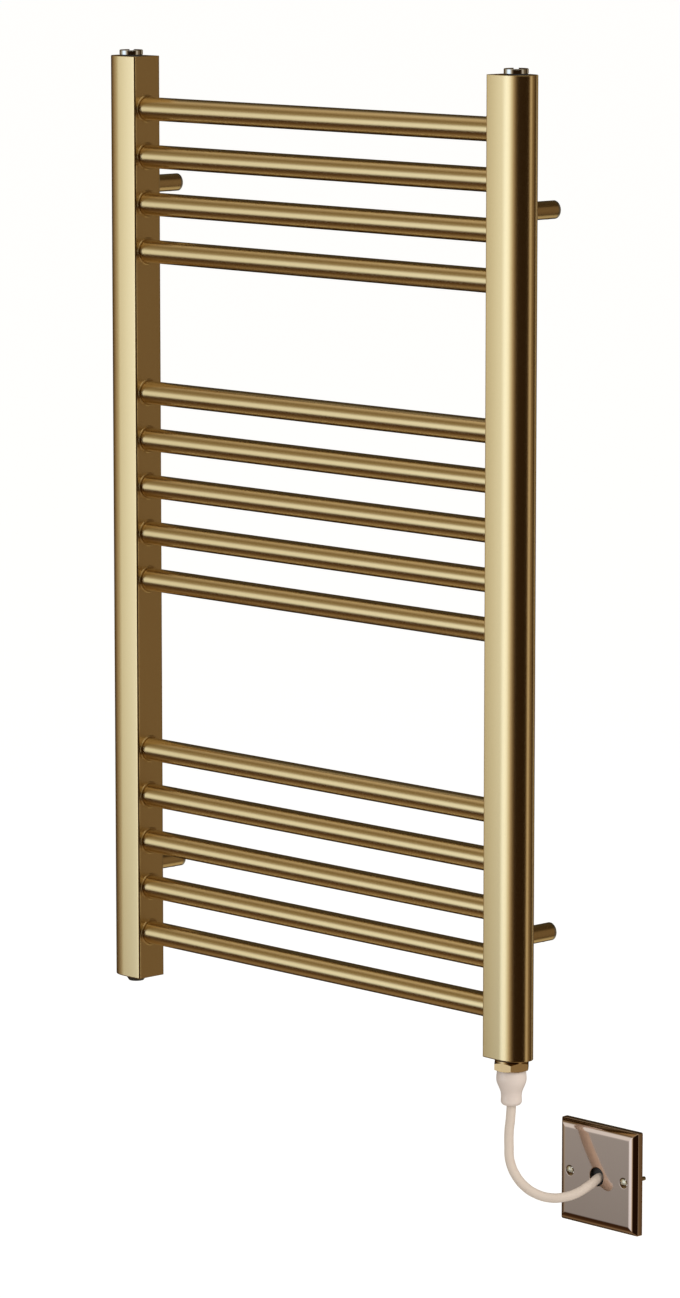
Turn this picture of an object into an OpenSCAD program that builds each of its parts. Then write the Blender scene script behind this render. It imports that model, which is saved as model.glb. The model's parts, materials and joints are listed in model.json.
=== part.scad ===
// Electric ladder towel rail: two D-profile uprights, fourteen round bars, four wall posts,
// a heating element in the right upright and its flex to a flex outlet plate on the wall.
// Origin: the wall plane, in the middle of the four wall fixings. +Z up, +X right, -Y to the room.

/* [Uprights] */
// Width of an upright, from its flat inner face to the crown of its round side
upright_w = 40; // [36:1:60]
// Depth of an upright, from its front to its back
upright_d = 30; // [29:1:36]
// Wall of the D-shaped tube
upright_wall = 1.5; // [1:0.1:2]
// Rounding of the two edges of the flat face
upright_edge_r = 1.2; // [0.4:0.1:2]
// Clear width between the flat faces of the two uprights
clear_w = 420; // [300:5:700]

/* [Bars] */
// Outside diameter of a bar
bar_d = 20; // [14:0.5:24]
// Wall of a bar
bar_wall = 1.2; // [0.8:0.1:2]
// Height from one bar to the next in a group
bar_pitch = 40.5; // [32:0.5:46]
// Height of the lowest bar above the bottom end of the uprights
bottom_margin = 40; // [36:0.5:80]
// Height from the highest bar to the top end of the uprights
top_margin = 44.5; // [36:0.5:90]
// Height of the towel gap between the bottom and middle groups, bar axis to bar axis
low_gap = 148.5; // [60:0.5:200]
// Height of the towel gap between the middle and top groups, bar axis to bar axis
high_gap = 121.5; // [60:0.5:200]
// How far a bar passes into the upright, from the flat face
bar_insert = 3; // [2:0.1:6]
// Leg of the brazed bead where a bar meets the upright
bead = 0.8; // [0.3:0.1:1.5]

/* [End caps] */
// Thickness of the plate that closes each end of an upright
cap_t = 3; // [2:0.5:6]
// Length of the threaded boss behind a cap
boss_len = 10; // [6:1:16]
// Wall of the threaded boss
boss_wall = 2.5; // [1.5:0.1:2.5]
// Port diameter for the vents and the blanking plug
plug_port_d = 16.7; // [13:0.1:18]
// Port diameter for the heating element
element_port_d = 21; // [19:0.1:21]
// Length of the threaded shank of a vent or of the blanking plug
plug_shank = 9; // [6:0.5:12]
// Thickness of each sealing washer
seal_t = 1; // [0.5:0.1:2]
// Breadth of the ring that a sealing washer covers
seal_ring = 1.3; // [1:0.1:2]

/* [Vents] */
// Diameter of a vent's head
vent_head_d = 20; // [19:0.5:26]
// Height of a vent's head
vent_head_h = 4; // [3.5:0.5:8]
// Rounding of the head's upper edge
vent_edge_r = 0.8; // [0.3:0.1:1.2]
// Width of the tool slot across the head
tool_slot_w = 4; // [2:0.5:6]
// Depth of the tool slot across the head
tool_slot_h = 1.2; // [0.6:0.1:2]
// Diameter of the air hole in the side of the head
air_hole_d = 1; // [0.6:0.1:1.2]
// Diameter of the bleed screw's head
bleed_head_d = 7.6; // [6:0.1:10]
// Height of the bleed screw's head
bleed_head_h = 1.8; // [1.2:0.1:2.2]
// Diameter of the bleed screw's shank
bleed_d = 5; // [3:0.1:6]
// Length of the bleed screw below its head
bleed_len = 10; // [6:0.5:11]
// Width of the bleed screw's slot
bleed_slot_w = 1.2; // [0.8:0.1:2]
// Depth of the bleed screw's slot
bleed_slot_h = 1; // [0.5:0.1:1.2]

/* [Blanking plug] */
// Largest diameter of the blanking plug's head
blank_d = 18.4; // [18:0.1:24]
// Diameter of the head's lower face
blank_tip_d = 13; // [11:0.5:18]
// Height of the head
blank_h = 4.4; // [3:0.2:8]
// Width across the flats of its hexagon socket
blank_socket_af = 8; // [5:0.5:9]
// Depth of its hexagon socket
blank_socket_h = 6; // [3:0.5:9]

/* [Heating element] */
// Diameter of the element's sheath
rod_d = 10; // [6:0.5:14]
// Length of the sheath above the bottom end of the upright
rod_len = 560; // [200:10:600]
// Diameter of the brass collar
collar_d = 27.4; // [27:0.1:32]
// Height of the brass collar
collar_h = 1.5; // [1:0.1:6]
// Width across the flats of the hexagon
hex_af = 27.5; // [26:0.1:30]
// Height of the hexagon
hex_h = 7; // [5:0.5:12]
// Length of the element's threaded shank above the collar
element_shank = 12; // [8:1:16]
// Length of the spigot that carries the head
spigot_len = 3; // [2:0.5:5]
// Diameter of the head where it meets the hexagon
head_mouth_d = 23.6; // [23.6:0.1:24.4]
// Diameter of the head at its widest, where the taper begins
head_d = 25.5; // [24.5:0.5:27]
// Wall of the head
head_wall = 2; // [1.5:0.1:2.5]
// Height of the head's upper part, down to its widest
head_top_h = 9; // [8:0.5:12]
// Height of the head's taper
head_taper_h = 10; // [6:0.5:14]
// Diameter of the head's lower part
head_tail_d = 17.4; // [15:0.1:19]
// Height of the head's lower part
head_tail_h = 8; // [4:0.5:10]
// Height of the rounded end of the head
head_tip_h = 2.5; // [1.5:0.5:4]
// Diameter of each cold pin under the sheath
pin_d = 1.8; // [1:0.1:2]
// Distance of the pins from the axis
pin_circle_r = 2.8; // [2.4:0.1:3]
// Diameter of each crimp sleeve
crimp_d = 3.4; // [2.5:0.1:3.8]
// Length of each crimp sleeve
crimp_len = 8; // [5:0.5:9]
// Diameter of the thermal fuse
fuse_d = 4; // [2:0.1:4]
// Length of the thermal fuse
fuse_len = 5.5; // [4:0.5:6]

/* [Cord] */
// Diameter of the flex
cord_d = 7.8; // [6:0.1:8]

/* [Outlet plate] */
// Width and height of the plate
plate_w = 86; // [80:1:100]
// How far the plate stands off the wall
plate_t = 9; // [7.5:0.5:12]
// Height of the plate's straight rim
plate_rim = 5.5; // [4:0.5:6]
// Breadth of the bevel round the plate's face
plate_bevel = 5; // [3:0.5:7]
// Wall of the plate
plate_wall = 1.5; // [1:0.1:2]
// Diameter of the hole that the flex enters by
plate_hole_d = 15.5; // [15.5:0.5:18]
// Distance between the plate's two fixing screws
plate_screw_pitch = 60.3; // [55:0.1:64]
// Distance of the plate's centre to the right of the element
plate_out = 59; // [55:1:80]
// Distance of the plate's centre below the bottom end of the uprights
plate_drop = 96; // [80:1:140]
// Diameter of a plate screw's head
plate_screw_head_d = 7.6; // [6:0.1:9]
// Height of the raised part of a plate screw's head
plate_screw_dome = 0.8; // [0.4:0.1:1.5]
// Diameter of a plate screw's shank
plate_screw_d = 3.4; // [3:0.1:4]
// How far a plate screw reaches behind the wall plane
plate_screw_reach = 16; // [8:1:30]

/* [Outlet wiring] */
// Width of the moulded carrier behind the plate
carrier_w = 70; // [68:1:76]
// Height of the moulded carrier
carrier_h = 50; // [48:1:70]
// Thickness of the moulded carrier
carrier_t = 3; // [2:0.5:4]
// Floor of the pocket in the carrier, behind the hole of the plate
carrier_floor = 1; // [0.8:0.1:1.5]
// Diameter of the hole in that floor that the flex passes
flex_hole_d = 9.6; // [9.6:0.1:11]
// Diameter of the carrier's holes for the plate screws
carrier_hole_d = 6; // [5.8:0.1:8]
// Width of the cord clamp and of the lug under it
clamp_w = 24; // [23:0.5:30]
// Thickness of the clamp bar
clamp_t = 3; // [2:0.5:5]
// Breadth of the clamp bar along the flex
clamp_b = 6; // [4:0.5:7]
// How far the clamp lug reaches behind the wall plane
lug_reach = 11; // [10:0.5:14]
// Diameter of each clamp screw
clamp_screw_d = 3; // [2:0.1:3.5]
// Width and height of each brass terminal
terminal_w = 8; // [7:0.5:10]
// Length of each brass terminal
terminal_len = 9; // [7:0.5:14]
// Distance from one terminal to the next
terminal_pitch = 14; // [12:0.5:18]

/* [Wall posts] */
// Gap between the wall and the back of an upright
wall_gap = 33.5; // [30:0.5:60]
// Distance of a post's axis from the flat face of its upright
post_in = 16; // [12:0.5:20]
// Height of the lower posts above the bottom end of the uprights
post_low = 98; // [96:0.5:104]
// Height of the upper posts above the bottom end of the uprights
post_high = 690; // [686:0.5:700]
// Outside diameter of a post's sleeve
sleeve_d = 15; // [14:0.5:18]
// Bore of a post's sleeve
sleeve_bore = 12; // [11:0.1:12.5]
// Thickness of the sleeve's closed end, against the upright
sleeve_end = 9.5; // [7:0.5:12]
// Thickness of the wall peg's flange
flange_t = 2; // [1:0.1:4]
// Length of the wall peg, with its flange
peg_len = 20; // [18:0.5:20]
// Hole for the wall screw
wall_hole_d = 5.5; // [4:0.1:6]
// Diameter of the recess for the wall screw's head
screw_recess_d = 9.4; // [7:0.1:9.6]
// Depth of the recess for the wall screw's head
screw_recess_h = 5; // [3:0.5:6]
// Diameter of the stud on the back of the upright
stud_d = 8; // [6:0.5:9]
// How far the stud stands out of the upright's back
stud_reach = 7.5; // [5:0.5:9]
// Diameter of the stud's plate inside the upright
stud_plate_d = 12; // [10:0.5:16]
// Thickness of the stud's plate
stud_plate_t = 2.5; // [1.5:0.5:4]
// Diameter of the grub screw that locks a sleeve on its peg
grub_d = 4; // [3:0.1:5]
// Distance of the grub screw from the wall
grub_y = 9; // [6:0.5:11]
// Depth of the dimple in the peg for the grub screw
dimple_h = 1.3; // [0.6:0.1:1.8]

/* [Fits] */
// Radial gap of a brazed joint
braze_gap = 0.05; // [0.02:0.01:0.1]
// Radial gap of a screwed joint
thread_gap = 0.05; // [0.02:0.01:0.1]
// Radial gap where a piece slides or drops in by hand
slip_gap = 0.1; // [0.05:0.01:0.2]
// Gap under a head or between two faces that stay free of each other
face_gap = 0.2; // [0.1:0.05:0.3]

/* [Hidden] */
$fn = 64;
cut = 1;                                   // how far a cutting shape runs past the face it cuts
bottom_bars = 5;
middle_bars = 5;
top_bars = 4;
bar_count = bottom_bars + middle_bars + top_bars;

// Heights above the bottom end of the uprights
middle_z = bottom_margin + (bottom_bars - 1) * bar_pitch + low_gap;
top_z = middle_z + (middle_bars - 1) * bar_pitch + high_gap;
rail_h = top_z + (top_bars - 1) * bar_pitch + top_margin;
// Bars are numbered from the top down, as they are read
bar_z = [
    for (i = [top_bars - 1 : -1 : 0]) top_z + i * bar_pitch,
    for (i = [middle_bars - 1 : -1 : 0]) middle_z + i * bar_pitch,
    for (i = [bottom_bars - 1 : -1 : 0]) bottom_margin + i * bar_pitch
];

// The rail in the frame of its wall fixings
half_d = upright_d / 2;
arc_x = upright_w - half_d;                // centre of the round side, from the flat face
axis_y = -(wall_gap + half_d);             // middle plane of uprights and bars
base_z = -(post_low + post_high) / 2;      // bottom end of the uprights
port_x = upright_w / 2;                    // axis of the ports, from the flat face

// Vent and plug stack, from an end face of the upright outwards
vent_top = seal_t + vent_head_h;
bleed_proud = 0.4;                         // how far the screw's head stands above the slot's floor
bleed_seat = vent_top - tool_slot_h - bleed_head_h + bleed_proud;
air_hole_z = seal_t + air_hole_d / 2 + 0.2;
slot_turn = 45;                            // the tool slots as they happened to tighten, in degrees
blank_end = seal_t + blank_h;

// Heating element stack, downwards from the bottom end of the upright
collar_end = seal_t + collar_h;
hex_end = collar_end + hex_h;
spigot_end = hex_end + spigot_len;
spigot_r = head_mouth_d / 2 - head_wall - face_gap;
head_taper_top = hex_end + head_top_h;
head_taper_end = head_taper_top + head_taper_h;
head_tail_end = head_taper_end + head_tail_h;
head_end = head_tail_end + head_tip_h;
rod_recess = 2.5;                          // the sheath ends this far inside the hexagon
rod_bottom = hex_end - rod_recess;
cord_entry = 9;                            // length of the flex inside the head
cord_start = head_end - cord_entry;
crimp_end = cord_start - face_gap;
crimp_start = crimp_end - crimp_len;
hex_turn = 12;                             // the hexagon as it happened to tighten, in degrees
head_tip_slope = 0.8;                      // how much the head's rounded end draws in per height
pin_angles = [90, 210, 330];               // the three cold pins and their crimps round the axis
fuse_angle = -150;
fuse_r = spigot_r - fuse_d / 2 - face_gap; // distance of the fuse from the axis

// Outlet plate in the row frame
plate_x = clear_w / 2 + port_x + plate_out;
plate_z = base_z - plate_drop;
plate_rise = plate_t - plate_rim;
bevel_len = sqrt(pow(plate_bevel, 2) + pow(plate_rise, 2));
bevel_in_rim = plate_wall * (bevel_len - plate_rise) / plate_bevel;
bevel_in_face = plate_wall * (bevel_len - plate_bevel) / plate_rise;
carrier_back = -(plate_t - plate_wall) + carrier_t;
flex_hole_drop = 1.1;                      // the rising flex passes the floor this far below centre
cord_r = cord_d / 2;
saddle_len = 7;                            // length of the flex that lies on the lug
saddle_y = lug_reach - saddle_len;
saddle_z = -cord_r - slip_gap;
lug_step = 3;                              // the lug's lower step, under the rising flex
lug_h = 8;                                 // height of the lug below that step
lug_top = saddle_z - lug_step;
lug_bottom = lug_top - lug_h;
lug_floor = 1;                             // solid left under the clamp screws' holes
clamp_lip = 0.5;                           // lug left uncovered beyond the clamp bar
clamp_screw_edge = 3.5;                    // clamp screw's axis to the end of the bar
clamp_screw_x = clamp_w / 2 - clamp_screw_edge;
clamp_y = lug_reach - clamp_lip - clamp_b / 2;
clamp_seat = cord_r + slip_gap + clamp_t;  // where the clamp screws' heads lie
terminal_gap = 0.4;                        // from the lug down to the terminals
terminal_z = lug_bottom - terminal_w / 2 - terminal_gap;
terminal_screw_d = 0.4 * terminal_w;
screw_hole_d = plate_screw_d + 4 * slip_gap;
plate_slot_w = 1;                          // width of the slot in a plate screw
plate_slot_h = 0.4;                        // depth of that slot below the plate's face

// Flex: its route from inside the head to behind the plate, as offsets from the element's axis
// at the bottom end of the upright: right, to the wall, up
cord_route = [
    [0, 0, -30],
    [0, 0, -40],
    [0, -1, -51],
    [0, -2.5, -62],
    [1.5, -4, -73],
    [4.5, -6, -84],
    [11.5, -6, -95.5],
    [20, -3.5, -104],
    [28.5, 0.5, -109],
    [38.5, 6.5, -111.5],
    [47.5, 13.5, -110.5],
    [54.5, 22.5, -107],
    [58.5, 32.5, -101.5],
    [59, 43.5, -97],
    [59, 52.5, -96],
    [59, 62.5, -96]
];
cord_sides = 12;

sides = ["left", "right"];
ends = ["upper", "lower"];
function side_sign(side) = side == "left" ? -1 : 1;
function end_z(end) = end == "upper" ? post_high : post_low;
function bar_name(i) = str("bar_", i < 10 ? "0" : "", i);
function each_side(what) = [for (side = sides) str(side, "_", what)];
function each_post(what) = [for (end = ends) for (side = sides) str(end, "_", side, "_", what)];

// ---- shared shapes -------------------------------------------------------------------------

// The D of an upright, x from its flat face outwards; inset shrinks it, edge_r rounds its edges
module d_outline(inset, edge_r) {
    half = half_d - inset;
    translate([arc_x, 0]) circle(r = half);
    translate([inset + edge_r, -half]) square([arc_x - inset - edge_r, 2 * half]);
    if (edge_r > 0) {
        translate([inset, edge_r - half]) square([arc_x - inset, 2 * (half - edge_r)]);
        for (s = [-1, 1]) translate([inset + edge_r, s * (half - edge_r)]) circle(r = edge_r);
    }
}

// A length of D-shaped bar that stands on z = 0
module d_block(inset, edge_r, h) {
    linear_extrude(height = h) d_outline(inset, edge_r);
}

// Places an upright's own frame: origin at the foot of its flat face, +X outwards, +Z up
module at_upright(side) {
    translate([side_sign(side) * clear_w / 2, axis_y, base_z])
        mirror([side == "left" ? 1 : 0, 0, 0])
            children();
}

// Places the axis of a top port, z = 0 on the top end face, +Z outwards
module at_top_port(side) {
    at_upright(side) translate([port_x, 0, rail_h]) children();
}

// Places the axis of a bottom port, z = 0 on the bottom end face, +Z up
module at_bottom_port(side) {
    at_upright(side) translate([port_x, 0, 0]) children();
}

// Places a post's axis: origin on the wall, +Z out of the wall into the room
module at_post(side, end) {
    translate([side_sign(side) * (clear_w / 2 + post_in), 0, base_z + end_z(end)])
        rotate([90, 0, 0])
            children();
}

// Places the outlet plate: origin on the wall at the plate's centre, +Y to the wall
module at_plate() {
    translate([plate_x, 0, plate_z]) children();
}

// A ring that stands on z = 0
module ring(outer_d, inner_d, h) {
    difference() {
        cylinder(d = outer_d, h = h);
        translate([0, 0, -cut]) cylinder(d = inner_d, h = h + 2 * cut);
    }
}

// A hexagonal prism that stands on z = 0
module hexagon(af, h) {
    cylinder(d = af / cos(30), h = h, $fn = 6);
}

// ---- uprights and bars ---------------------------------------------------------------------

module upright(side) {
    color("darkkhaki") at_upright(side) difference() {
        d_block(0, upright_edge_r, rail_h);
        translate([0, 0, -cut]) d_block(upright_wall, 0, rail_h + 2 * cut);
        for (z = bar_z) translate([-cut, 0, z]) rotate([0, 90, 0])
            cylinder(d = bar_d + 2 * braze_gap, h = upright_wall + 2 * cut);
        for (end = ends) translate([post_in, half_d - upright_wall - cut, end_z(end)])
            rotate([-90, 0, 0])
                cylinder(d = stud_d + 2 * braze_gap, h = upright_wall + 2 * cut);
    }
}

module bar(i) {
    face = clear_w / 2;
    tip = face + bar_insert;
    outer = bar_d / 2;
    inner = outer - bar_wall;
    color("darkkhaki") translate([0, axis_y, base_z + bar_z[i - 1]]) rotate([0, 90, 0])
        rotate_extrude() polygon([
            [inner, -tip], [outer, -tip], [outer, -face],
            [outer + bead, -face], [outer, bead - face],
            [outer, face - bead], [outer + bead, face],
            [outer, face], [outer, tip], [inner, tip]
        ]);
}

// ---- end caps ------------------------------------------------------------------------------

// A cap with its boss: outer face on z = 0, the rest below it
module end_cap(port_d) {
    difference() {
        union() {
            translate([0, 0, -cap_t]) d_block(upright_wall + braze_gap, 0, cap_t);
            translate([port_x, 0, -cap_t - boss_len])
                cylinder(d = port_d + 2 * boss_wall, h = boss_len + cap_t);
        }
        translate([port_x, 0, -cap_t - boss_len - cut])
            cylinder(d = port_d, h = cap_t + boss_len + 2 * cut);
    }
}

module top_cap(side) {
    color("peru") at_upright(side) translate([0, 0, rail_h]) end_cap(plug_port_d);
}

module bottom_cap(side) {
    port_d = side == "left" ? plug_port_d : element_port_d;
    color("peru") at_upright(side) mirror([0, 0, 1]) end_cap(port_d);
}

// ---- vents ---------------------------------------------------------------------------------

module plug_seal() {
    ring(plug_port_d + 2 * seal_ring, plug_port_d + 2 * slip_gap, seal_t);
}

module vent_seal(side) {
    color("dimgray") at_top_port(side) plug_seal();
}

module vent_head() {
    r = vent_head_d / 2;
    rotate_extrude() {
        square([r - vent_edge_r, vent_head_h]);
        square([r, vent_head_h - vent_edge_r]);
        translate([r - vent_edge_r, vent_head_h - vent_edge_r]) circle(r = vent_edge_r);
    }
}

module vent_body(side) {
    color("silver") at_top_port(side) difference() {
        union() {
            translate([0, 0, seal_t]) vent_head();
            translate([0, 0, -plug_shank])
                cylinder(d = plug_port_d - 2 * thread_gap, h = plug_shank + seal_t + cut);
        }
        translate([0, 0, -plug_shank - cut])
            cylinder(d = bleed_d + 2 * thread_gap, h = plug_shank + vent_top + 2 * cut);
        translate([0, 0, bleed_seat - face_gap])
            cylinder(d = bleed_head_d + 2 * face_gap, h = vent_top);
        rotate(-slot_turn * side_sign(side))
            translate([-vent_head_d, -tool_slot_w / 2, vent_top - tool_slot_h])
                cube([2 * vent_head_d, tool_slot_w, vent_head_h]);
        translate([0, 0, air_hole_z]) rotate([-90, 0, 0])
            cylinder(d = air_hole_d, h = vent_head_d);
    }
}

module bleed_screw(side) {
    color("silver") at_top_port(side) translate([0, 0, bleed_seat]) difference() {
        union() {
            cylinder(d = bleed_head_d, h = bleed_head_h);
            translate([0, 0, bleed_d / 4 - bleed_len])
                cylinder(d = bleed_d, h = bleed_len - bleed_d / 4 + cut);
            translate([0, 0, -bleed_len]) cylinder(d1 = bleed_d / 2, d2 = bleed_d, h = bleed_d / 4);
        }
        translate([-bleed_head_d, -bleed_slot_w / 2, bleed_head_h - bleed_slot_h])
            cube([2 * bleed_head_d, bleed_slot_w, 2 * bleed_slot_h]);
    }
}

// ---- blanking plug -------------------------------------------------------------------------

module blanking_seal() {
    color("dimgray") at_bottom_port("left") mirror([0, 0, 1]) plug_seal();
}

module blanking_plug() {
    color([0.08, 0.08, 0.08]) at_bottom_port("left") mirror([0, 0, 1]) difference() {
        union() {
            translate([0, 0, seal_t]) cylinder(d1 = blank_d, d2 = blank_tip_d, h = blank_h);
            translate([0, 0, -plug_shank])
                cylinder(d = plug_port_d - 2 * thread_gap, h = plug_shank + seal_t + cut / 2);
        }
        translate([0, 0, blank_end - blank_socket_h]) hexagon(blank_socket_af, blank_socket_h + cut);
    }
}

// ---- heating element -----------------------------------------------------------------------

module element_seal() {
    color("dimgray") at_bottom_port("right") translate([0, 0, -seal_t])
        ring(element_port_d + 4 * seal_ring, element_port_d + 2 * slip_gap, seal_t);
}

// The hexagon with its corners turned off at both ends
module chamfered_hexagon() {
    corner_r = hex_af / 2 / cos(30);
    face_r = hex_af / 2;
    drop = (corner_r - face_r) / 2;
    intersection() {
        rotate(hex_turn) hexagon(hex_af, hex_h);
        rotate_extrude() polygon([
            [0, 0], [face_r, 0], [corner_r, drop], [corner_r, hex_h - drop], [face_r, hex_h], [0, hex_h]
        ]);
    }
}

module element_body() {
    color("darkgoldenrod") at_bottom_port("right") difference() {
        union() {
            translate([0, 0, -collar_end])
                cylinder(d = element_port_d - 2 * thread_gap, h = collar_end + element_shank);
            translate([0, 0, -collar_end]) cylinder(d = collar_d, h = collar_h);
            translate([0, 0, -hex_end]) chamfered_hexagon();
            translate([0, 0, -spigot_end]) cylinder(r = spigot_r, h = spigot_end - seal_t);
        }
        translate([0, 0, -spigot_end - cut])
            cylinder(d = rod_d + 2 * braze_gap, h = spigot_end + element_shank + 2 * cut);
    }
}

module heating_rod() {
    color("lightsteelblue") at_bottom_port("right") {
        translate([0, 0, -rod_bottom]) cylinder(d = rod_d, h = rod_bottom + rod_len - rod_d / 2);
        translate([0, 0, rod_len - rod_d / 2]) sphere(d = rod_d);
        for (a = pin_angles) rotate(a) translate([pin_circle_r, 0, -crimp_start])
            cylinder(d = pin_d, h = crimp_start - rod_bottom + cut);
    }
}

module crimp_sleeves() {
    color("lightgray") at_bottom_port("right") for (a = pin_angles)
        rotate(a) translate([pin_circle_r, 0, -crimp_end]) cylinder(d = crimp_d, h = crimp_len);
}

module thermal_fuse() {
    color("lightgray") at_bottom_port("right") rotate(fuse_angle)
        translate([fuse_r, 0, -spigot_end - fuse_len]) cylinder(d = fuse_d, h = fuse_len);
}

module element_head() {
    mouth_r = head_mouth_d / 2;
    wide_r = head_d / 2;
    tail_r = head_tail_d / 2;
    tip_r = tail_r - head_tip_slope * head_tip_h;
    hole_r = cord_r + slip_gap;
    color("ivory") at_bottom_port("right") rotate_extrude() polygon([
        [mouth_r, -hex_end], [wide_r, -head_taper_top], [tail_r, -head_taper_end],
        [tail_r, -head_tail_end], [tip_r, -head_end], [hole_r, -head_end],
        [hole_r, -head_tail_end], [tail_r - head_wall, -head_tail_end],
        [tail_r - head_wall, -head_taper_end - head_wall / 2],
        [wide_r - head_wall, -head_taper_top - head_wall / 2], [mouth_r - head_wall, -hex_end]
    ]);
}

// ---- flex ----------------------------------------------------------------------------------

function unit(v) = v / norm(v);
function route_dir(i) =
    unit(cord_route[min(i + 1, len(cord_route) - 1)] - cord_route[max(i - 1, 0)]);
// A ring of the tube about a route point: the sideways axis is level, as the flex never turns over
function ring_points(i) =
    let (along = route_dir(i))
    let (side = unit(cross(along, abs(along[2]) > 0.9 ? [1, 0, 0] : [0, 0, 1])))
    let (up = cross(side, along))
    [for (k = [0 : cord_sides - 1])
        cord_route[i] + cord_r * (cos(360 * k / cord_sides) * side + sin(360 * k / cord_sides) * up)];

// Turns ring after ring so that its first point stays the nearest to the last ring's first point
function nearest(points, p) =
    let (d = [for (q = points) norm(q - p)])
    search(min(d), d)[0];
function turned(points, p) =
    let (k = nearest(points, p))
    [for (j = [0 : cord_sides - 1]) points[(j + k) % cord_sides]];
function cord_rings(i, done) =
    i == len(cord_route) ? done
    : cord_rings(i + 1, concat(done, [turned(ring_points(i), done[i - 1][0])]));

module cord() {
    rings = cord_rings(1, [ring_points(0)]);
    last = len(rings) - 1;
    color("ivory") at_bottom_port("right") polyhedron(
        points = [for (r = rings) each r],
        faces = concat(
            [[for (k = [0 : cord_sides - 1]) k]],
            [[for (k = [cord_sides - 1 : -1 : 0]) last * cord_sides + k]],
            [for (i = [0 : last - 1]) for (k = [0 : cord_sides - 1])
                let (a = i * cord_sides + k)
                let (b = i * cord_sides + (k + 1) % cord_sides)
                each [[a, a + cord_sides, b + cord_sides], [a, b + cord_sides, b]]]
        )
    );
}

// ---- outlet plate --------------------------------------------------------------------------

// The plate's section, x across and y from the wall into the room, mirrored about its middle
module plate_section(half, rim, face_half, t, foot) {
    polygon([
        [-half, -foot], [half, -foot], [half, rim], [face_half, t], [-face_half, t], [-half, rim]
    ]);
}

// The section swept both ways, so that the bevels meet in mitres
module plate_form(half, rim, face_half, t, foot) {
    intersection() {
        mirror([0, 1, 0]) translate([0, 0, -half]) linear_extrude(height = 2 * half)
            plate_section(half, rim, face_half, t, foot);
        mirror([0, 1, 0]) rotate([0, 90, 0]) translate([0, 0, -half]) linear_extrude(height = 2 * half)
            plate_section(half, rim, face_half, t, foot);
    }
}

module outlet_plate() {
    half = plate_w / 2;
    color("gainsboro") at_plate() difference() {
        plate_form(half, plate_rim, half - plate_bevel, plate_t, 0);
        plate_form(half - plate_wall, plate_rim - bevel_in_rim,
            half - plate_bevel - bevel_in_face, plate_t - plate_wall, cut);
        rotate([90, 0, 0]) cylinder(d = plate_hole_d, h = plate_t + cut);
        for (s = [-1, 1]) translate([s * plate_screw_pitch / 2, 0, 0]) rotate([90, 0, 0]) {
            cylinder(d = screw_hole_d, h = plate_t + cut);
            translate([0, 0, plate_t - plate_wall])
                cylinder(d1 = screw_hole_d, d2 = plate_screw_head_d + 2 * slip_gap, h = plate_wall);
        }
    }
}

module plate_screws() {
    shank = plate_screw_reach + plate_t - plate_wall;
    dome_r = (pow(plate_screw_head_d / 2, 2) + pow(plate_screw_dome, 2)) / (2 * plate_screw_dome);
    color("silver") at_plate() for (s = [-1, 1])
        translate([s * plate_screw_pitch / 2, 0, 0]) rotate([90, 0, 0]) difference() {
            union() {
                translate([0, 0, -plate_screw_reach]) cylinder(d = plate_screw_d, h = shank + cut / 2);
                translate([0, 0, plate_t - plate_wall])
                    cylinder(d1 = plate_screw_d, d2 = plate_screw_head_d, h = plate_wall);
                intersection() {
                    translate([0, 0, plate_t + plate_screw_dome - dome_r]) sphere(r = dome_r);
                    translate([0, 0, plate_t]) cylinder(d = plate_screw_head_d, h = plate_screw_dome);
                }
            }
            translate([-plate_screw_head_d, -plate_slot_w / 2, plate_t - plate_slot_h])
                cube([2 * plate_screw_head_d, plate_slot_w, 2 * plate_screw_dome + cut]);
        }
}

module outlet_carrier() {
    front = -(plate_t - plate_wall);
    color("dimgray") at_plate() difference() {
        union() {
            translate([-carrier_w / 2, front, -carrier_h / 2]) cube([carrier_w, carrier_t, carrier_h]);
            translate([-clamp_w / 2, front, lug_bottom])
                cube([clamp_w, lug_reach - front, lug_top - lug_bottom]);
            translate([-clamp_w / 2, saddle_y, lug_bottom])
                cube([clamp_w, saddle_len, saddle_z - lug_bottom]);
        }
        translate([0, front - cut, 0]) rotate([-90, 0, 0])
            cylinder(d = plate_hole_d, h = carrier_t - carrier_floor + cut);
        translate([0, front - cut, -flex_hole_drop]) rotate([-90, 0, 0])
            cylinder(d = flex_hole_d, h = carrier_t + 1.01 * cut);
        for (s = [-1, 1]) {
            translate([s * plate_screw_pitch / 2, front - cut, 0]) rotate([-90, 0, 0])
                cylinder(d = carrier_hole_d, h = carrier_t + 2 * cut);
            translate([s * clamp_screw_x, clamp_y, lug_bottom + lug_floor])
                cylinder(d = clamp_screw_d + 2 * thread_gap, h = saddle_z + cut - lug_bottom);
        }
    }
}

module cord_clamp() {
    color("dimgray") at_plate() difference() {
        translate([-clamp_w / 2, clamp_y - clamp_b / 2, clamp_seat - clamp_t])
            cube([clamp_w, clamp_b, clamp_t]);
        for (s = [-1, 1]) translate([s * clamp_screw_x, clamp_y, 0])
            cylinder(d = clamp_screw_d + 2 * slip_gap, h = clamp_seat + cut);
    }
}

// A cheese-head screw: underside of the head on z = 0, shank below it
module cheese_screw(d, head_d, head_h, shank) {
    difference() {
        union() {
            cylinder(d = head_d, h = head_h);
            translate([0, 0, -shank]) cylinder(d = d, h = shank + head_h / 2);
        }
        translate([-head_d, -d / 6, head_h / 2]) cube([2 * head_d, d / 3, head_h]);
    }
}

module clamp_screws() {
    shank = clamp_seat - lug_bottom - 2 * lug_floor;
    color("silver") at_plate() for (s = [-1, 1]) translate([s * clamp_screw_x, clamp_y, clamp_seat])
        cheese_screw(clamp_screw_d, 1.8 * clamp_screw_d, 0.6 * clamp_screw_d, shank);
}

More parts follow.
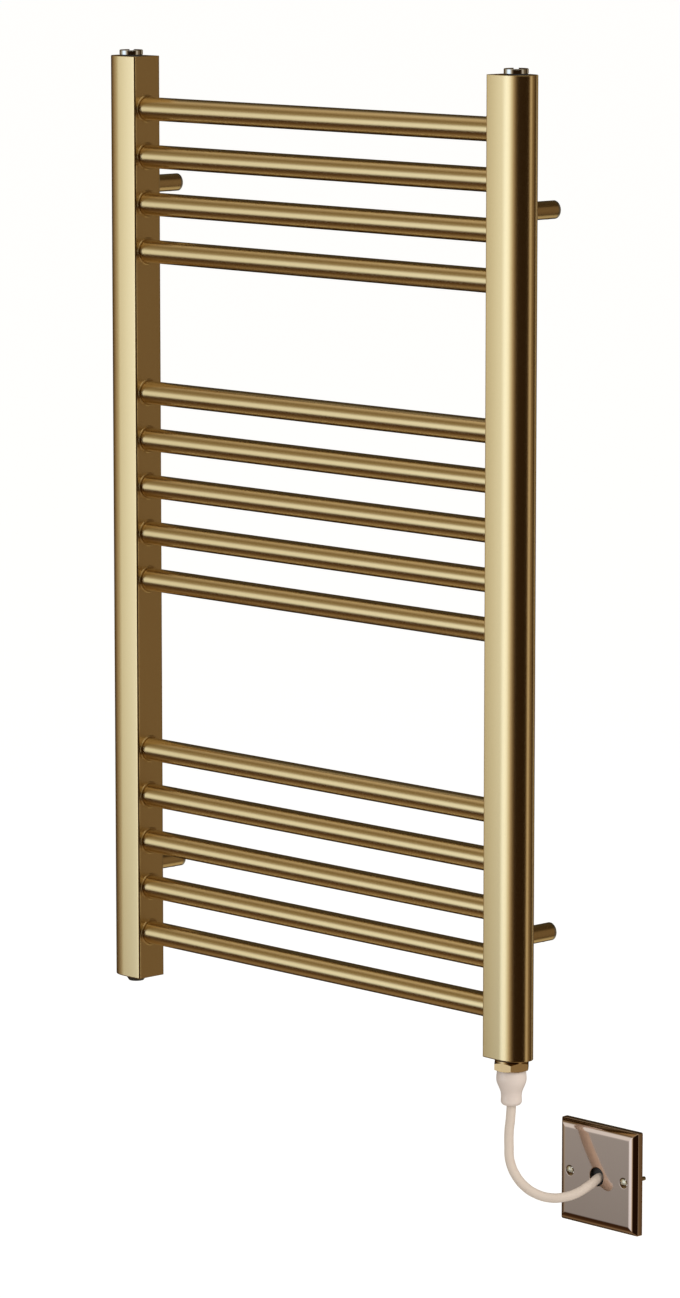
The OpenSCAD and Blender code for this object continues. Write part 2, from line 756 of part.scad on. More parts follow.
module terminals() {
    color("gold") at_plate() for (s = [-1, 0, 1])
        translate([s * terminal_pitch, carrier_back, terminal_z]) difference() {
            translate([-terminal_w / 2, 0, -terminal_w / 2])
                cube([terminal_w, terminal_len, terminal_w]);
            translate([0, terminal_len / 2, -terminal_w / 2 - cut])
                cylinder(d = terminal_screw_d, h = terminal_w / 2 + cut);
            translate([0, terminal_len / 2, 0]) rotate([-90, 0, 0])
                cylinder(d = terminal_screw_d + 2 * thread_gap, h = terminal_len);
        }
}

module terminal_screws() {
    d = terminal_screw_d;
    color("silver") at_plate() for (s = [-1, 0, 1])
        translate([s * terminal_pitch, carrier_back + terminal_len, terminal_z])
            rotate([-90, 0, 0]) cheese_screw(d, 1.6 * d, 0.5 * d, terminal_len / 3);
}

// ---- wall posts ----------------------------------------------------------------------------

module wall_peg(side, end) {
    peg_d = sleeve_bore - 2 * slip_gap;
    color("silver") at_post(side, end) difference() {
        union() {
            cylinder(d = sleeve_d, h = flange_t);
            cylinder(d = peg_d, h = peg_len);
        }
        translate([0, 0, -cut]) cylinder(d = wall_hole_d, h = peg_len + 2 * cut);
        translate([0, 0, peg_len - screw_recess_h]) cylinder(d = screw_recess_d, h = screw_recess_h + cut);
        translate([0, 0, grub_y]) rotate([90, 0, 0])
            translate([0, 0, peg_d / 2 - dimple_h]) cylinder(d = grub_d + 2 * slip_gap, h = dimple_h + cut);
    }
}

module post_sleeve(side, end) {
    foot = flange_t + face_gap;
    color("darkkhaki") at_post(side, end) difference() {
        translate([0, 0, foot]) cylinder(d = sleeve_d, h = wall_gap - foot);
        translate([0, 0, foot - cut]) cylinder(d = sleeve_bore, h = wall_gap - sleeve_end - foot + cut);
        cylinder(d = stud_d + 2 * thread_gap, h = wall_gap + cut);
        translate([0, 0, grub_y]) rotate([90, 0, 0])
            cylinder(d = grub_d + 2 * thread_gap, h = sleeve_d);
    }
}

module post_stud(side, end) {
    plate_face = wall_gap + upright_wall;
    color("lightsteelblue") at_post(side, end) {
        translate([0, 0, plate_face]) cylinder(d = stud_plate_d, h = stud_plate_t);
        translate([0, 0, wall_gap - stud_reach])
            cylinder(d = stud_d, h = stud_reach + upright_wall + stud_plate_t);
    }
}

module grub_screws() {
    inner = sleeve_bore / 2 - slip_gap - dimple_h + slip_gap / 2;
    outer = sleeve_d / 2 - slip_gap / 2;
    color("dimgray") for (end = ends) for (side = sides)
        at_post(side, end) translate([0, 0, grub_y]) rotate([90, 0, 0]) difference() {
            translate([0, 0, inner]) cylinder(d = grub_d, h = outer - inner);
            translate([0, 0, outer - grub_d / 4]) hexagon(grub_d / 2, grub_d);
        }
}

// ---- the parts -----------------------------------------------------------------------------

for (side = sides) {
    upright(side);
    top_cap(side);
    bottom_cap(side);
    vent_seal(side);
    vent_body(side);
    bleed_screw(side);
}
for (i = [1 : bar_count]) {
    bar(i);
}
blanking_seal();
blanking_plug();
element_seal();
element_body();
heating_rod();
thermal_fuse();
crimp_sleeves();
element_head();
cord();
outlet_plate();
plate_screws();
outlet_carrier();
terminals();
terminal_screws();
cord_clamp();
clamp_screws();
for (end = ends) for (side = sides) {
    wall_peg(side, end);
    post_sleeve(side, end);
    post_stud(side, end);
}
grub_screws();
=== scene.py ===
# %% [markdown]
# # A ladder towel rail in satin brass
#
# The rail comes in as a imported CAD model: every node already sits in its place, in metres, with
# the wall at Y = 0, the room at -Y and the middle of the four wall fixings at the origin.
# Blender gives it its looks. Pieces whose CAD shape is right keep it and get a finish. Pieces
# that catch the light along soft edges are made again, on the same sizes, and stand for the node.

# %% Load the frame
import json
import math

import bmesh
import bpy
from mathutils import Matrix, Vector

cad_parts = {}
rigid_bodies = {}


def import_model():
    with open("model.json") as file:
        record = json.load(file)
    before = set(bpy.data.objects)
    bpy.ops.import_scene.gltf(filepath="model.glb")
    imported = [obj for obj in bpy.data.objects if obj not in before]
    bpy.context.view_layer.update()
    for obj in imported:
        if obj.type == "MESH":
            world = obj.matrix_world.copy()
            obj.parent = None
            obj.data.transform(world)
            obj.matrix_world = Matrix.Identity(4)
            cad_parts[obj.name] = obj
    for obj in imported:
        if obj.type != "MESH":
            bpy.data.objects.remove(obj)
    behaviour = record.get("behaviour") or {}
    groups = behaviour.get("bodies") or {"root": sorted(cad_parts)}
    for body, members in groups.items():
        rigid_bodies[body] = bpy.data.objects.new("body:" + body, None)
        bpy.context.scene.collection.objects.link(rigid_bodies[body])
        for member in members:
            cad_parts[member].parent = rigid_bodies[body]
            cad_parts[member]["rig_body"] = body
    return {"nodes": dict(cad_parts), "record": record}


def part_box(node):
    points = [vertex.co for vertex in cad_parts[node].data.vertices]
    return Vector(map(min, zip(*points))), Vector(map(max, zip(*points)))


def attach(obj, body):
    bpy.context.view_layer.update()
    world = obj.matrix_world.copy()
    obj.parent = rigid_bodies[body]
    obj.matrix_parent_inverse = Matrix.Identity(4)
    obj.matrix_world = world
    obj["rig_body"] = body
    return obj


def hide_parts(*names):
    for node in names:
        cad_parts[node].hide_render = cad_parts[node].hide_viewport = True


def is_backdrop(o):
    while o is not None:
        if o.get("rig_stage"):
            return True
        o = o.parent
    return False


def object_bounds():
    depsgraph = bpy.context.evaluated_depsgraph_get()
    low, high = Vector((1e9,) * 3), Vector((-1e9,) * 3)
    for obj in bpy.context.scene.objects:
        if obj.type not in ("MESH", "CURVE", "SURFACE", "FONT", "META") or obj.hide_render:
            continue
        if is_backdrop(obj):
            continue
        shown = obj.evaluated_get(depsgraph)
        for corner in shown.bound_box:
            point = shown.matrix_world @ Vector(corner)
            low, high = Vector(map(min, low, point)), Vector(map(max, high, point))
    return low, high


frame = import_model()
scene = bpy.context.scene
cad_box = [list(corner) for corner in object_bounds()]
body_of = {name: obj["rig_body"] for name, obj in frame["nodes"].items()}
MM = 0.001

# %% [markdown]
# ## The camera
#
# A product shot from the right, a little above the middle, through a long lens. A long lens far
# away keeps the uprights nearly parallel, as a catalogue wants them. A short lens close by would
# make the near upright loom over the far one.

# %% Camera
camera = bpy.data.objects.new("camera", bpy.data.cameras.new("camera"))
scene.collection.objects.link(camera)
camera.data.sensor_width = 36
camera.data.lens = 155.4
camera.data.clip_end = 200
looks_down, looks_left = 8.661, 46.2
camera.location = (3.3625, -3.2466, 0.6254)
camera.rotation_euler = (math.radians(90 - looks_down), 0, math.radians(looks_left))
scene.camera = camera
scene.view_settings.view_transform = "Standard"
print(f"lens {camera.data.lens} mm, {camera.location.length:.2f} m from the fixings")

# %% [markdown]
# ## The flex
#
# The flex leaves the element's head, hangs in one slack loop and goes into the wall plate. It
# could be a simulated rope, but a stiff 8 mm flex takes one smooth curve, so its route is a
# handful of points with a Bezier spline through them. A round bevel gives the curve its body.
# The first points lie inside the head and the last ones behind the plate, so no end shows.

# %% Flex
head_low, head_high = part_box("element_head")
element_axis = (head_low + head_high) / 2
foot_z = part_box("left_upright")[0].z
flex_d = 7.8 * MM
# Offsets from the element's axis at the foot of the upright, in mm: right, to the wall, up
flex_route = [
    (0, 0, -30),
    (0, 0, -40),
    (0, -1, -51),
    (0, -2.5, -62),
    (1.5, -4, -73),
    (4.5, -6, -84),
    (11.5, -6, -95.5),
    (20, -3.5, -104),
    (28.5, 0.5, -109),
    (38.5, 6.5, -111.5),
    (47.5, 13.5, -110.5),
    (54.5, 22.5, -107),
    (58.5, 32.5, -101.5),
    (59, 43.5, -97),
    (59, 52.5, -96),
    (59, 62.5, -96),
]
flex_start = Vector((element_axis.x, element_axis.y, foot_z))
flex_points = [flex_start + Vector(p) * MM for p in flex_route]

flex_curve = bpy.data.curves.new("flex", "CURVE")
flex_curve.dimensions = "3D"
flex_curve.bevel_depth = flex_d / 2
flex_curve.bevel_resolution = 8
flex_curve.resolution_u = 8
flex_curve.use_fill_caps = True
spline = flex_curve.splines.new("BEZIER")
spline.bezier_points.add(len(flex_points) - 1)
for knot, place in zip(spline.bezier_points, flex_points):
    knot.co = place
    knot.handle_left_type = knot.handle_right_type = "AUTO"
flex = bpy.data.objects.new("flex", flex_curve)
scene.collection.objects.link(flex)
flex_length = sum((b - a).length for a, b in zip(flex_points, flex_points[1:]))
print(f"flex {flex_length * 1000:.0f} mm long")

# %% [markdown]
# ## Shader sums written as sums
#
# A finish needs arithmetic on masks: a streak times a strength, plus a base. Wiring Math nodes by
# hand hides the sum, so a small class wraps a socket and overloads the operators. Writing
# 1 - mask * 0.3 then adds the nodes. Every other node comes from one method, which takes its
# settings and its inputs.


# %% Values and finishes
class Value:
    """One number that varies over a surface; sums of it add Math nodes."""

    def __init__(self, tree, socket):
        self.tree = tree
        self.socket = socket

    def _math(self, operation, first, second):
        node = self.tree.nodes.new("ShaderNodeMath")
        node.operation = operation
        for place, value in zip(node.inputs, (first, second)):
            plug(self.tree, place, value)
        return Value(self.tree, node.outputs[0])

    def __add__(self, other):
        return self._math("ADD", self, other)

    def __sub__(self, other):
        return self._math("SUBTRACT", self, other)

    def __rsub__(self, other):
        return self._math("SUBTRACT", other, self)

    def __mul__(self, other):
        return self._math("MULTIPLY", self, other)

    def __pow__(self, other):
        return self._math("POWER", self, other)

    def over(self, other):
        """The greater of the two."""
        return self._math("MAXIMUM", self, other)

    def angle_from(self, other):
        """The angle, in degrees, of the point that lies this far up and other far along."""
        return self._math("ARCTAN2", self, other) * (180 / math.pi)

    __radd__ = __add__
    __rmul__ = __mul__


def plug(tree, place, value):
    """Links a Value or a socket into an input, or sets a plain value on it."""
    if isinstance(value, Value):
        tree.links.new(value.socket, place)
    elif isinstance(value, bpy.types.NodeSocket):
        tree.links.new(value, place)
    else:
        place.default_value = value


class Nodes:
    """A node tree that adds any node by its type, settings and inputs."""

    def __init__(self, tree):
        self.tree = tree
        tree.nodes.clear()

    def add(self, kind, settings=None, **inputs):
        node = self.tree.nodes.new("ShaderNode" + kind)
        for name, value in (settings or {}).items():
            setattr(node, name, value)
        for name, value in inputs.items():
            plug(self.tree, node.inputs[name.replace("_", " ")], value)
        return node

    def value(self, node, output):
        return Value(self.tree, node.outputs[output])


print("operators ready: + - * **, over and angle_from")

# %% [markdown]
# ## Satin brass
#
# The real finish is a brass-coloured plating that was brushed fine and lacquered. Up close it is a
# bundle of hair-thin scratches along the tube, and from afar they only widen the highlight. A
# metallic Principled shader with a middling roughness gives the wide highlight. Noise stretched
# along the brushing direction varies roughness and bump, and a slow noise tints the plating.


# %% Brass finish
def stretched(nodes, along, across, brush_axis):
    """Object coordinates scaled so that noise on them draws streaks along brush_axis."""
    place = nodes.add("TexCoord").outputs["Object"]
    scale = [across] * 3
    scale["XYZ".index(brush_axis)] = along
    return nodes.add("Mapping", Vector=place, Scale=scale).outputs[0]


# How often noise repeats per metre, along the brushing and across it
hair_scales = (8, 900)
cloud_scales = (3, 30)
cloud_roughness = 0.03


def satin_metal(name, light, deep, roughness, brush_axis, streaks=0.012, coat=0.0):
    """A brushed metal: two close tints, and streaks in roughness and bump."""
    material = bpy.data.materials.new(name)
    material.use_nodes = True
    nodes = Nodes(material.node_tree)
    hair = nodes.value(
        nodes.add(
            "TexNoise",
            Vector=stretched(nodes, *hair_scales, brush_axis),
            Scale=1.0,
            Detail=2.0,
            Roughness=0.6,
        ),
        "Fac",
    )
    cloud = nodes.value(
        nodes.add(
            "TexNoise",
            Vector=stretched(nodes, *cloud_scales, brush_axis),
            Scale=1.0,
            Detail=3.0,
        ),
        "Fac",
    )
    tint = nodes.add("Mix", {"data_type": "RGBA"}, Factor=cloud)
    tint.inputs[6].default_value = (*deep, 1)
    tint.inputs[7].default_value = (*light, 1)
    relief = nodes.add("Bump", Strength=0.01, Distance=0.00001)
    plug(nodes.tree, relief.inputs["Height"], hair)
    shader = nodes.add(
        "BsdfPrincipled",
        Base_Color=tint.outputs[2],
        Metallic=1.0,
        Roughness=roughness + (hair - 0.5) * streaks + (cloud - 0.5) * cloud_roughness,
        Normal=relief.outputs[0],
        Coat_Weight=coat,
        Coat_Roughness=0.12,
    )
    nodes.add("OutputMaterial", Surface=shader.outputs[0])
    return material


brass_light = (0.80, 0.64, 0.37)
brass_deep = (0.77, 0.61, 0.34)
brass_upright = satin_metal("satin_brass_upright", brass_light, brass_deep, 0.24, "Z", coat=0.5)
brass_bar = satin_metal("satin_brass_bar", brass_light, brass_deep, 0.24, "X", coat=0.5)
brass_post = satin_metal("satin_brass_post", brass_light, brass_deep, 0.24, "Y", coat=0.5)
print("brass finishes:", brass_upright.name, brass_bar.name, brass_post.name)

# %% [markdown]
# ## The other metals
#
# Chrome is nearly a mirror, so it only needs a cool tint and a very low roughness with faint
# smears. The wall plate is polished nickel, warmer and darker. The element's hexagon is turned
# brass, redder than the plating, with rougher tool marks. Hidden steel parts are zinc plated.

# %% Chrome, nickel, turned brass, steel
chrome = satin_metal("chrome", (0.64, 0.67, 0.71), (0.61, 0.64, 0.68), 0.05, "Z", 0.01)
nickel = satin_metal("polished_nickel", (0.56, 0.43, 0.36), (0.54, 0.41, 0.34), 0.06, "Z", 0.01)
screw_nickel = satin_metal("screw_nickel", (0.62, 0.57, 0.46), (0.5, 0.45, 0.35), 0.2, "X")
turned_brass = satin_metal("turned_brass", (0.54, 0.39, 0.21), (0.47, 0.32, 0.16), 0.18, "Z", 0.06)
zinc = satin_metal("zinc_steel", (0.60, 0.61, 0.62), (0.48, 0.49, 0.50), 0.35, "Z", 0.1)
tinned = satin_metal("tinned_metal", (0.72, 0.72, 0.70), (0.62, 0.62, 0.60), 0.3, "Z", 0.1)
sheath = satin_metal("stainless_sheath", (0.55, 0.54, 0.52), (0.46, 0.45, 0.43), 0.32, "Z", 0.1)
print("seven more metals")

# %% [markdown]
# ## Plastics and rubber
#
# The element's head is a glossy moulding, warm off-white. The flex is softer, with a faint
# grain where the sheath was drawn over the cores. The blanking plug is a matt black moulding.
# All of them share one recipe: a base tint that drifts a little, a fine grain in the bump, and a
# roughness that wanders.


# %% Moulded finishes
def moulded(name, light, deep, roughness, grain, grain_depth):
    """A plastic or rubber with a drifting tint and a fine grain of the given size."""
    material = bpy.data.materials.new(name)
    material.use_nodes = True
    nodes = Nodes(material.node_tree)
    place = nodes.add("TexCoord").outputs["Object"]
    fine = nodes.value(nodes.add("TexNoise", Vector=place, Scale=1 / grain, Detail=2.0), "Fac")
    drift = nodes.value(nodes.add("TexNoise", Vector=place, Scale=40.0, Detail=2.0), "Fac")
    tint = nodes.add("Mix", {"data_type": "RGBA"}, Factor=drift)
    tint.inputs[6].default_value = (*deep, 1)
    tint.inputs[7].default_value = (*light, 1)
    relief = nodes.add("Bump", Strength=0.3, Distance=grain_depth)
    plug(nodes.tree, relief.inputs["Height"], fine)
    shader = nodes.add(
        "BsdfPrincipled",
        Base_Color=tint.outputs[2],
        Roughness=roughness + (drift - 0.5) * 0.1 + (fine - 0.5) * 0.06,
        Normal=relief.outputs[0],
    )
    nodes.add("OutputMaterial", Surface=shader.outputs[0])
    return material


head_white = moulded("head_white", (0.73, 0.63, 0.56), (0.69, 0.58, 0.51), 0.30, 0.0012, 0.00002)
flex_white = moulded("flex_white", (0.69, 0.59, 0.50), (0.64, 0.53, 0.44), 0.42, 0.0006, 0.00003)
plug_black = moulded("plug_black", (0.016, 0.016, 0.016), (0.01, 0.01, 0.01), 0.4, 0.0006, 0.00004)
seal_black = moulded("seal_black", (0.03, 0.03, 0.03), (0.02, 0.02, 0.02), 0.7, 0.0004, 0.00005)
print("four moulded finishes")

# %% [markdown]
# ## A finish for every node
#
# Hidden pieces count too: whoever takes the rail apart should find steel, rubber and brass. The
# table names a finish for each of the record's slots, and the nodes take theirs from it. The
# flex's own finish goes on the curve.

# %% Finish the nodes
finish_of_slot = {
    "satin_brass": brass_upright,
    "chrome": chrome,
    "seal_rubber": seal_black,
    "black_plastic": plug_black,
    "element_brass": turned_brass,
    "stainless_sheath": sheath,
    "tinned_metal": tinned,
    "head_plastic": head_white,
    "cord_pvc": flex_white,
    "polished_nickel": nickel,
    "nickel_screws": screw_nickel,
    "zinc_steel": zinc,
}
slot_of = {part["node"]: part["material_slot"] for part in frame["record"]["subparts"]}
for name, obj in frame["nodes"].items():
    finish = finish_of_slot[slot_of[name]]
    if name.startswith("bar_"):
        finish = brass_bar
    if name.endswith("post_sleeve"):
        finish = brass_post
    obj.data.materials.clear()
    obj.data.materials.append(finish)
flex_curve.materials.append(flex_white)
print(f"{len(slot_of)} nodes finished")

# %% [markdown]
# ## The uprights
#
# Each upright is a drawn tube of D-shaped section: flat towards the bars, round outside. A box
# with a bevel would never have the long soft roll of light, so the section is drawn point by
# point and run up the height. The flats get extra points just inside their ends, because smooth
# shading would otherwise bend the light across them. The tube's mouth is broken by a tiny round.


# %% Section of an upright
corner_steps, crown_steps, arc_steps = 8, 16, 48
least_corner = 0.1 * MM


def d_section(width, depth, inset, corner, roll, crown):
    """Points round the D, from the flat face at x = 0 outwards; inset shrinks it."""
    half = depth / 2 - inset
    centre = width - roll
    corner = max(corner - inset, least_corner)
    margin = 0.4 * MM
    start, front = inset + corner, -half + crown
    points = []
    for k in range(corner_steps + 1):
        a = math.radians(180 + 90 * k / corner_steps)
        points.append((start + corner * math.cos(a), front + corner + corner * math.sin(a)))
    for k in range(1, crown_steps):
        t = k / crown_steps
        points.append((start + t * (centre - start), -half + crown * (1 - t) ** 2))
    for k in range(arc_steps + 1):
        a = math.radians(-90 + 180 * k / arc_steps)
        points.append((centre + (roll - inset) * math.cos(a), half * math.sin(a)))
    points += [(centre - margin, half), (start + margin, half)]
    for k in range(corner_steps + 1):
        a = math.radians(90 + 90 * k / corner_steps)
        points.append((start + corner * math.cos(a), half - corner + corner * math.sin(a)))
    points += [(inset, half - corner - margin), (inset, front + corner + margin)]
    return points


upright_low, upright_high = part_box("right_upright")
upright_w = upright_high.x - upright_low.x
upright_d = upright_high.y - upright_low.y
upright_wall = 1.5 * MM
upright_corner = 1.8 * MM
upright_roll = 20 * MM
upright_crown = 0.7 * MM
print(f"section {upright_w * 1000:.1f} x {upright_d * 1000:.1f} mm")


# %% Run the section up the height
def finished_mesh(name, build, material, smooth=True):
    """A new piece from a bmesh that build fills in, with its faces turned outwards."""
    bm = bmesh.new()
    build(bm)
    bmesh.ops.remove_doubles(bm, verts=bm.verts, dist=1e-7)
    bmesh.ops.recalc_face_normals(bm, faces=bm.faces)
    mesh = bpy.data.meshes.new(name)
    bm.to_mesh(mesh)
    bm.free()
    for face in mesh.polygons:
        face.use_smooth = smooth
    mesh.materials.append(material)
    piece = bpy.data.objects.new(name, mesh)
    scene.collection.objects.link(piece)
    return piece


def bridge(bm, rings, closed):
    """Quads between rings of equal length; closed also joins the last ring to the first."""
    made = [[bm.verts.new(p) for p in ring] for ring in rings]
    pairs = list(zip(made, made[1:])) + ([(made[-1], made[0])] if closed else [])
    for a, b in pairs:
        for k in range(len(a)):
            j = (k + 1) % len(a)
            bm.faces.new((a[k], a[j], b[j], b[k]))


mouth_lip = 0.35 * MM


def upright_tube(side):
    """One upright: the section run from its foot to its top and back down the inside."""
    low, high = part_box(f"{side}_upright")
    facing = 1 if side == "right" else -1
    flat_x = low.x if side == "right" else high.x
    mid_y = (low.y + high.y) / 2
    lip, tall = mouth_lip, high.z - low.z
    rise = [
        (upright_wall, 0),
        (lip, 0),
        (lip * 0.3, lip * 0.3),
        (0, lip),
        (0, lip * 2.5),
        (0, tall - lip * 2.5),
        (0, tall - lip),
        (lip * 0.3, tall - lip * 0.3),
        (lip, tall),
        (upright_wall, tall),
    ]

    def build(bm):
        rings = []
        for inset, z in rise:
            if inset < upright_wall:
                shape = (upright_corner, upright_roll, upright_crown)
            else:
                shape = (upright_wall, upright_d / 2, 0)
            section = d_section(upright_w, upright_d, inset, *shape)
            rings.append([(flat_x + facing * x, mid_y + y, low.z + z) for x, y in section])
        bridge(bm, rings, closed=True)

    return finished_mesh(f"{side}_upright_tube", build, brass_upright)


for side in ("left", "right"):
    tube = upright_tube(side)
    tube.data.set_sharp_from_angle(angle=math.radians(40))
    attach(tube, body_of[f"{side}_upright"])
    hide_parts(f"{side}_upright")
    print(tube.name, len(tube.data.polygons), "faces")

# %% [markdown]
# ## The bars
#
# Fourteen equal bars in three groups, the two wide gaps being where towels hang. Copying one bar
# by hand fourteen times would bury the rule, so Geometry Nodes hold it: a line of points whose
# heights step down by the pitch, plus one extra step at each wide gap, and a bar on each point.
# Each bar has a brazed bead round both ends, which catches a thin ring of light.


# %% A bar tree
class Geometry:
    """A Geometry Nodes tree with named inputs, and one method that adds any node."""

    def __init__(self, name, inputs):
        self.tree = bpy.data.node_groups.new(name, "GeometryNodeTree")
        self.tree.interface.new_socket(
            "Geometry", in_out="OUTPUT", socket_type="NodeSocketGeometry"
        )
        self.identifiers = {}
        for title, kind in inputs:
            made = self.tree.interface.new_socket(title, in_out="INPUT", socket_type=kind)
            self.identifiers[title] = made.identifier
        self.start = self.tree.nodes.new("NodeGroupInput")
        self.end = self.tree.nodes.new("NodeGroupOutput")

    def given(self, title):
        return self.start.outputs[title]

    def add(self, kind, settings=None, **inputs):
        node = self.tree.nodes.new(kind)
        for name, value in (settings or {}).items():
            setattr(node, name, value)
        for name, value in inputs.items():
            plug(self.tree, node.inputs[name.replace("_", " ")], value)
        return node

    def sum(self, operation, first, second):
        node = self.add("ShaderNodeMath", {"operation": operation})
        plug(self.tree, node.inputs[0], first)
        plug(self.tree, node.inputs[1], second)
        return node.outputs[0]

    def run(self, name, values):
        """Evaluates the tree with these values and returns a plain mesh piece."""
        holder = bpy.data.objects.new(name, bpy.data.meshes.new(name))
        scene.collection.objects.link(holder)
        modifier = holder.modifiers.new("rule", "NODES")
        modifier.node_group = self.tree
        for title, value in values.items():
            modifier[self.identifiers[title]] = value
        bpy.context.view_layer.update()
        seen = holder.evaluated_get(bpy.context.evaluated_depsgraph_get())
        mesh = bpy.data.meshes.new_from_object(seen)
        holder.modifiers.remove(modifier)
        holder.data = mesh
        return holder


bar_tree = Geometry(
    "bars_in_groups",
    [
        ("Count", "NodeSocketInt"),
        ("Pitch", "NodeSocketFloat"),
        ("Upper step", "NodeSocketFloat"),
        ("Upper step after", "NodeSocketInt"),
        ("Lower step", "NodeSocketFloat"),
        ("Lower step after", "NodeSocketInt"),
        ("Length", "NodeSocketFloat"),
        ("Radius", "NodeSocketFloat"),
        ("Bead", "NodeSocketFloat"),
        ("Face to face", "NodeSocketFloat"),
        ("Finish", "NodeSocketMaterial"),
    ],
)
print("bar tree inputs:", ", ".join(bar_tree.identifiers))


# %% The heights follow the index
def stepped_points(g):
    """Points down the ladder: index times pitch, plus a step past each group."""
    index = g.add("GeometryNodeInputIndex").outputs[0]
    fall = g.sum("MULTIPLY", index, g.given("Pitch"))
    for step, after in (("Upper step", "Upper step after"), ("Lower step", "Lower step after")):
        past = g.sum("GREATER_THAN", index, g.sum("SUBTRACT", g.given(after), 0.5))
        fall = g.sum("ADD", fall, g.sum("MULTIPLY", past, g.given(step)))
    place = g.add("ShaderNodeCombineXYZ")
    plug(g.tree, place.inputs["Z"], g.sum("MULTIPLY", fall, -1.0))
    line = g.add("GeometryNodeMeshLine", Count=g.given("Count"), Offset=(0, 0, 0))
    moved = g.add(
        "GeometryNodeSetPosition", Geometry=line.outputs[0], Position=place.outputs[0]
    )
    return moved.outputs[0]


def lying_tube(g, length, radius, sides, rings):
    """A round bar along X, centred, whose closed ends lie inside the uprights."""
    half = g.sum("MULTIPLY", length, 0.5)
    ends = []
    for sign in (-1.0, 1.0):
        tip = g.add("ShaderNodeCombineXYZ")
        plug(g.tree, tip.inputs["X"], g.sum("MULTIPLY", half, sign))
        ends.append(tip.outputs[0])
    axis = g.add("GeometryNodeCurvePrimitiveLine", Start=ends[0], End=ends[1])
    axis = g.add("GeometryNodeResampleCurve", Curve=axis.outputs[0], Count=rings)
    outline = g.add("GeometryNodeCurvePrimitiveCircle", Resolution=sides, Radius=radius)
    tube = g.add(
        "GeometryNodeCurveToMesh",
        Curve=axis.outputs[0],
        Profile_Curve=outline.outputs[0],
        Fill_Caps=True,
    )
    return tube.outputs[0]


def end_beads(g):
    """Two rings of braze, one at each flat face."""
    clear = 1.3  # the ring's middle lies this many bead radii outside the bar
    parts = []
    for sign in (-0.5, 0.5):
        hoop_r = g.sum("ADD", g.given("Radius"), g.sum("MULTIPLY", g.given("Bead"), clear))
        hoop = g.add("GeometryNodeCurvePrimitiveCircle", Resolution=72, Radius=hoop_r)
        bead = g.add("GeometryNodeCurvePrimitiveCircle", Resolution=10, Radius=g.given("Bead"))
        ring = g.add(
            "GeometryNodeCurveToMesh", Curve=hoop.outputs[0], Profile_Curve=bead.outputs[0]
        )
        reach = g.add("ShaderNodeCombineXYZ")
        plug(g.tree, reach.inputs["X"], g.sum("MULTIPLY", g.given("Face to face"), sign))
        placed = g.add(
            "GeometryNodeTransform",
            Geometry=ring.outputs[0],
            Translation=reach.outputs[0],
            Rotation=(0, math.radians(90), 0),
        )
        parts.append(placed.outputs[0])
    return parts


tube = lying_tube(
    bar_tree, bar_tree.given("Length"), bar_tree.given("Radius"), sides=72, rings=12
)
whole = bar_tree.add("GeometryNodeJoinGeometry")
for part in [tube, *end_beads(bar_tree)]:
    bar_tree.tree.links.new(part, whole.inputs[0])
placed = bar_tree.add(
    "GeometryNodeInstanceOnPoints", Points=stepped_points(bar_tree), Instance=whole.outputs[0]
)
real = bar_tree.add("GeometryNodeRealizeInstances", Geometry=placed.outputs[0])
smooth = bar_tree.add("GeometryNodeSetShadeSmooth", Geometry=real.outputs[0])
dressed = bar_tree.add(
    "GeometryNodeSetMaterial", Geometry=smooth.outputs[0], Material=bar_tree.given("Finish")
)
bar_tree.tree.links.new(dressed.outputs[0], bar_tree.end.inputs[0])
print("bar tree:", len(bar_tree.tree.nodes), "nodes")


# %% Make the bars
def bar_axis(number):
    """The middle of a bar, counted from the top."""
    low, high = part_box(f"bar_{number:02d}")
    return (low + high) / 2


bar_low, bar_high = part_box("bar_01")
flat_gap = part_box("right_upright")[0].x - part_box("left_upright")[1].x
pitch = bar_axis(1).z - bar_axis(2).z
bar_r = 10 * MM
bead_r = 0.8 * MM
bar_count, last_of_upper, last_of_middle = 14, 4, 9


def extra_step(after):
    """How much wider than the pitch the gap under this bar is."""
    return bar_axis(after).z - bar_axis(after + 1).z - pitch


bars = bar_tree.run(
    "bars",
    {
        "Count": bar_count,
        "Pitch": pitch,
        "Upper step": extra_step(last_of_upper),
        "Upper step after": last_of_upper,
        "Lower step": extra_step(last_of_middle),
        "Lower step after": last_of_middle,
        "Length": bar_high.x - bar_low.x,
        "Radius": bar_r,
        "Bead": bead_r,
        "Face to face": flat_gap,
        "Finish": brass_bar,
    },
)
bars.data.transform(Matrix.Translation(bar_axis(1)))
bars.data.set_sharp_from_angle(angle=math.radians(40))
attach(bars, "rail")
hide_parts(*[f"bar_{n:02d}" for n in range(1, bar_count + 1)])
print(f"bars: pitch {pitch * 1000:.1f} mm, {len(bars.data.polygons)} faces")

# %% [markdown]
# ## Rounded edges on the turned and moulded pieces
#
# No edge on a real part is perfectly sharp: a turned edge is broken, a moulded one is round. The
# CAD solids have sharp edges, which look cut out of paper. Instead of modelling each piece
# again, a copy of its mesh is merged into clean faces and gets a small bevel at every sharp edge.
# Normals weighted by area then keep the flats flat.


# %% Soften a node
same_point = 2e-6
same_plane, sharp_edge = math.radians(0.5), math.radians(28)


